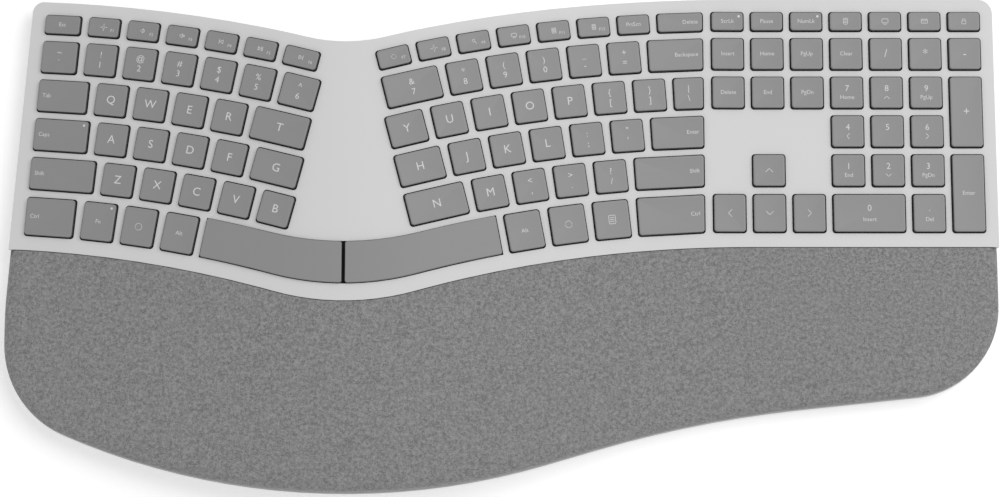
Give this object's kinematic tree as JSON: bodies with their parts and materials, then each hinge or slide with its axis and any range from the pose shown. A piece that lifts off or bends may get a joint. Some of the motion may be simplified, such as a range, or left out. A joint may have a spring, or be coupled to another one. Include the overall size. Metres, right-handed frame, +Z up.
{
  "type": "ergonomic split keyboard",
  "caption": "Curved gull-wing split keyboard with a number pad, a split space bar and a cushioned fabric palm rest.",
  "frame": {"origin": "on the table under the middle of the bounding box", "axes": "+X to the typist's right, +Y to the back, away from the typist, +Z up"},
  "size_m": [0.461, 0.2314, 0.0347],
  "materials": {
    "deck_plastic": "fine matt light grey",
    "base_plastic": "fine matt light grey",
    "key_plastic": "smooth matt mid grey",
    "palm_fabric": "woven melange grey",
    "palm_foam": "soft open foam",
    "carrier_plastic": "moulded grey",
    "plate_steel": "zinc-plated sheet",
    "membrane_film": "dark film",
    "foot_rubber": "dark rubber",
    "screw_steel": "zinc-plated",
    "cell_jacket": "printed film jacket",
    "contact_metal": "nickel-plated spring",
    "board_laminate": "green solder mask",
    "button_plastic": "dark grey",
    "dome_rubber": "translucent white silicone",
    "link_plastic": "white moulded",
    "wire_steel": "drawn wire",
    "light_lens": "clear light pipe"
  },
  "bodies": {
    "case": {"base_housing": "base_plastic", "deck_cover": "deck_plastic", "key_plate": "plate_steel", "membrane_circuit": "membrane_film", "palm_rest_cover": "palm_fabric", "palm_rest_foam": "palm_foam", "palm_rest_carrier": "carrier_plastic", "rubber_feet": "foot_rubber", "case_screws": "screw_steel", "battery_cells": "cell_jacket", "battery_contacts": "contact_metal", "controller_board": "board_laminate", "rubber_domes": "dome_rubber", "scissor_outer_links": "link_plastic", "scissor_inner_links": "link_plastic", "stabiliser_wires": "wire_steel"},
    "battery_door": {"battery_door": "base_plastic"},
    "pairing_button": {"pairing_button": "button_plastic"},
    "arrow_down": {"arrow_down": "key_plastic"},
    "arrow_left": {"arrow_left": "key_plastic"},
    "arrow_right": {"arrow_right": "key_plastic"},
    "arrow_up": {"arrow_up": "key_plastic"},
    "backspace": {"backspace": "key_plastic"},
    "caps_lock": {"caps_lock": "key_plastic", "caps_lock_light": "light_lens"},
    "context_menu": {"context_menu": "key_plastic"},
    "enter": {"enter": "key_plastic"},
    "esc": {"esc": "key_plastic"},
    "fn": {"fn": "key_plastic", "fn_lock_light": "light_lens"},
    "left_alt": {"left_alt": "key_plastic"},
    "left_ctrl": {"left_ctrl": "key_plastic"},
    "left_function_keys": {"left_function_keys": "key_plastic"},
    "left_home_letters": {"left_home_letters": "key_plastic"},
    "left_lower_letters": {"left_lower_letters": "key_plastic"},
    "left_number_keys": {"left_number_keys": "key_plastic"},
    "left_shift": {"left_shift": "key_plastic"},
    "left_space_bar": {"left_space_bar": "key_plastic"},
    "left_start": {"left_start": "key_plastic"},
    "left_upper_letters": {"left_upper_letters": "key_plastic"},
    "lock_and_pause_keys": {"lock_and_pause_keys": "key_plastic", "lock_key_lights": "light_lens"},
    "media_keys": {"media_keys": "key_plastic"},
    "navigation_keys": {"navigation_keys": "key_plastic"},
    "numpad_digits": {"numpad_digits": "key_plastic"},
    "numpad_enter": {"numpad_enter": "key_plastic"},
    "numpad_operators": {"numpad_operators": "key_plastic"},
    "numpad_plus": {"numpad_plus": "key_plastic"},
    "numpad_zero": {"numpad_zero": "key_plastic"},
    "right_alt": {"right_alt": "key_plastic"},
    "right_ctrl": {"right_ctrl": "key_plastic"},
    "right_function_keys": {"right_function_keys": "key_plastic"},
    "right_home_keys": {"right_home_keys": "key_plastic"},
    "right_lower_keys": {"right_lower_keys": "key_plastic"},
    "right_number_keys": {"right_number_keys": "key_plastic"},
    "right_shift": {"right_shift": "key_plastic"},
    "right_space_bar": {"right_space_bar": "key_plastic"},
    "right_start": {"right_start": "key_plastic"},
    "right_upper_keys": {"right_upper_keys": "key_plastic"},
    "tab": {"tab": "key_plastic"}
  },
  "joints": [
    {"name": "arrow_down_press", "type": "slide", "parent": "case", "child": "arrow_down", "axis": [0, -0.0262, -0.9997], "range_m": [0, 0.0018], "stiffness_N_per_m": 330, "springref_m": -0.0018, "deforming": ["rubber_domes", "scissor_outer_links", "scissor_inner_links", "stabiliser_wires"]},
    {"name": "arrow_left_press", "type": "slide", "parent": "case", "child": "arrow_left", "axis": [-0.0231, -0.0262, -0.9994], "range_m": [0, 0.0018], "stiffness_N_per_m": 330, "springref_m": -0.0018},
    {"name": "arrow_right_press", "type": "slide", "parent": "case", "child": "arrow_right", "axis": [0, -0.0262, -0.9997], "range_m": [0, 0.0018], "stiffness_N_per_m": 330, "springref_m": -0.0018},
    {"name": "arrow_up_press", "type": "slide", "parent": "case", "child": "arrow_up", "axis": [0, -0.0262, -0.9997], "range_m": [0, 0.0018], "stiffness_N_per_m": 330, "springref_m": -0.0018},
    {"name": "backspace_press", "type": "slide", "parent": "case", "child": "backspace", "axis": [-0.0669, -0.0261, -0.9974], "range_m": [0, 0.0018], "stiffness_N_per_m": 330, "springref_m": -0.0018},
    {"name": "caps_lock_press", "type": "slide", "parent": "case", "child": "caps_lock", "axis": [0.1392, -0.0259, -0.9899], "range_m": [0, 0.0018], "stiffness_N_per_m": 330, "springref_m": -0.0018},
    {"name": "context_menu_press", "type": "slide", "parent": "case", "child": "context_menu", "axis": [-0.1213, -0.026, -0.9923], "range_m": [0, 0.0018], "stiffness_N_per_m": 330, "springref_m": -0.0018},
    {"name": "enter_press", "type": "slide", "parent": "case", "child": "enter", "axis": [-0.0658, -0.0261, -0.9975], "range_m": [0, 0.0018], "stiffness_N_per_m": 330, "springref_m": -0.0018},
    {"name": "esc_press", "type": "slide", "parent": "case", "child": "esc", "axis": [0.1392, -0.0259, -0.9899], "range_m": [0, 0.0018], "stiffness_N_per_m": 330, "springref_m": -0.0018},
    {"name": "fn_press", "type": "slide", "parent": "case", "child": "fn", "axis": [0.1392, -0.0259, -0.9899], "range_m": [0, 0.0018], "stiffness_N_per_m": 330, "springref_m": -0.0018},
    {"name": "left_alt_press", "type": "slide", "parent": "case", "child": "left_alt", "axis": [0.1392, -0.0259, -0.9899], "range_m": [0, 0.0018], "stiffness_N_per_m": 330, "springref_m": -0.0018},
    {"name": "left_ctrl_press", "type": "slide", "parent": "case", "child": "left_ctrl", "axis": [0.1392, -0.0259, -0.9899], "range_m": [0, 0.0018], "stiffness_N_per_m": 330, "springref_m": -0.0018},
    {"name": "left_function_keys_press", "type": "slide", "parent": "case", "child": "left_function_keys", "axis": [0.1286, -0.026, -0.9914], "range_m": [0, 0.0018], "stiffness_N_per_m": 330, "springref_m": -0.0018},
    {"name": "left_home_letters_press", "type": "slide", "parent": "case", "child": "left_home_letters", "axis": [0.1344, -0.0259, -0.9906], "range_m": [0, 0.0018], "stiffness_N_per_m": 330, "springref_m": -0.0018},
    {"name": "left_lower_letters_press", "type": "slide", "parent": "case", "child": "left_lower_letters", "axis": [0.1345, -0.0259, -0.9906], "range_m": [0, 0.0018], "stiffness_N_per_m": 330, "springref_m": -0.0018},
    {"name": "left_number_keys_press", "type": "slide", "parent": "case", "child": "left_number_keys", "axis": [0.1305, -0.0259, -0.9911], "range_m": [0, 0.0018], "stiffness_N_per_m": 330, "springref_m": -0.0018},
    {"name": "left_shift_press", "type": "slide", "parent": "case", "child": "left_shift", "axis": [0.1392, -0.0259, -0.9899], "range_m": [0, 0.0018], "stiffness_N_per_m": 330, "springref_m": -0.0018},
    {"name": "left_space_bar_press", "type": "slide", "parent": "case", "child": "left_space_bar", "axis": [0.1259, -0.026, -0.9917], "range_m": [0, 0.0018], "stiffness_N_per_m": 330, "springref_m": -0.0018},
    {"name": "left_start_press", "type": "slide", "parent": "case", "child": "left_start", "axis": [0.1392, -0.0259, -0.9899], "range_m": [0, 0.0018], "stiffness_N_per_m": 330, "springref_m": -0.0018},
    {"name": "left_upper_letters_press", "type": "slide", "parent": "case", "child": "left_upper_letters", "axis": [0.1334, -0.0259, -0.9907], "range_m": [0, 0.0018], "stiffness_N_per_m": 330, "springref_m": -0.0018},
    {"name": "lock_and_pause_keys_press", "type": "slide", "parent": "case", "child": "lock_and_pause_keys", "axis": [-0.0077, -0.0262, -0.9996], "range_m": [0, 0.0018], "stiffness_N_per_m": 330, "springref_m": -0.0018},
    {"name": "media_keys_press", "type": "slide", "parent": "case", "child": "media_keys", "axis": [0, -0.0262, -0.9997], "range_m": [0, 0.0018], "stiffness_N_per_m": 330, "springref_m": -0.0018},
    {"name": "navigation_keys_press", "type": "slide", "parent": "case", "child": "navigation_keys", "axis": [-0.0077, -0.0262, -0.9996], "range_m": [0, 0.0018], "stiffness_N_per_m": 330, "springref_m": -0.0018},
    {"name": "numpad_digits_press", "type": "slide", "parent": "case", "child": "numpad_digits", "axis": [0, -0.0262, -0.9997], "range_m": [0, 0.0018], "stiffness_N_per_m": 330, "springref_m": -0.0018},
    {"name": "numpad_enter_press", "type": "slide", "parent": "case", "child": "numpad_enter", "axis": [0, -0.0262, -0.9997], "range_m": [0, 0.0018], "stiffness_N_per_m": 330, "springref_m": -0.0018},
    {"name": "numpad_operators_press", "type": "slide", "parent": "case", "child": "numpad_operators", "axis": [0, -0.0262, -0.9997], "range_m": [0, 0.0018], "stiffness_N_per_m": 330, "springref_m": -0.0018},
    {"name": "numpad_plus_press", "type": "slide", "parent": "case", "child": "numpad_plus", "axis": [0, -0.0262, -0.9997], "range_m": [0, 0.0018], "stiffness_N_per_m": 330, "springref_m": -0.0018},
    {"name": "numpad_zero_press", "type": "slide", "parent": "case", "child": "numpad_zero", "axis": [0, -0.0262, -0.9997], "range_m": [0, 0.0018], "stiffness_N_per_m": 330, "springref_m": -0.0018},
    {"name": "right_alt_press", "type": "slide", "parent": "case", "child": "right_alt", "axis": [-0.1392, -0.0259, -0.9899], "range_m": [0, 0.0018], "stiffness_N_per_m": 330, "springref_m": -0.0018},
    {"name": "right_ctrl_press", "type": "slide", "parent": "case", "child": "right_ctrl", "axis": [-0.0719, -0.0261, -0.9971], "range_m": [0, 0.0018], "stiffness_N_per_m": 330, "springref_m": -0.0018},
    {"name": "right_function_keys_press", "type": "slide", "parent": "case", "child": "right_function_keys", "axis": [-0.1175, -0.026, -0.9927], "range_m": [0, 0.0018], "stiffness_N_per_m": 330, "springref_m": -0.0018},
    {"name": "right_home_keys_press", "type": "slide", "parent": "case", "child": "right_home_keys", "axis": [-0.1321, -0.0259, -0.9909], "range_m": [0, 0.0018], "stiffness_N_per_m": 330, "springref_m": -0.0018},
    {"name": "right_lower_keys_press", "type": "slide", "parent": "case", "child": "right_lower_keys", "axis": [-0.1357, -0.0259, -0.9904], "range_m": [0, 0.0018], "stiffness_N_per_m": 330, "springref_m": -0.0018},
    {"name": "right_number_keys_press", "type": "slide", "parent": "case", "child": "right_number_keys", "axis": [-0.1302, -0.0259, -0.9911], "range_m": [0, 0.0018], "stiffness_N_per_m": 330, "springref_m": -0.0018},
    {"name": "right_shift_press", "type": "slide", "parent": "case", "child": "right_shift", "axis": [-0.0729, -0.0261, -0.997], "range_m": [0, 0.0018], "stiffness_N_per_m": 330, "springref_m": -0.0018},
    {"name": "right_space_bar_press", "type": "slide", "parent": "case", "child": "right_space_bar", "axis": [-0.1259, -0.026, -0.9917], "range_m": [0, 0.0018], "stiffness_N_per_m": 330, "springref_m": -0.0018},
    {"name": "right_start_press", "type": "slide", "parent": "case", "child": "right_start", "axis": [-0.1392, -0.0259, -0.9899], "range_m": [0, 0.0018], "stiffness_N_per_m": 330, "springref_m": -0.0018},
    {"name": "right_upper_keys_press", "type": "slide", "parent": "case", "child": "right_upper_keys", "axis": [-0.1163, -0.026, -0.9929], "range_m": [0, 0.0018], "stiffness_N_per_m": 330, "springref_m": -0.0018},
    {"name": "tab_press", "type": "slide", "parent": "case", "child": "tab", "axis": [0.1392, -0.0259, -0.9899], "range_m": [0, 0.0018], "stiffness_N_per_m": 330, "springref_m": -0.0018},
    {"name": "battery_door_lift_off", "type": "slide", "parent": "case", "child": "battery_door", "axis": [0, 0, -1], "range_m": [0, 0.02]},
    {"name": "pairing_button_press", "type": "slide", "parent": "case", "child": "pairing_button", "axis": [0, 0, 1], "range_m": [0, 0.0008], "stiffness_N_per_m": 350, "springref_m": -0.0008}
  ]
}
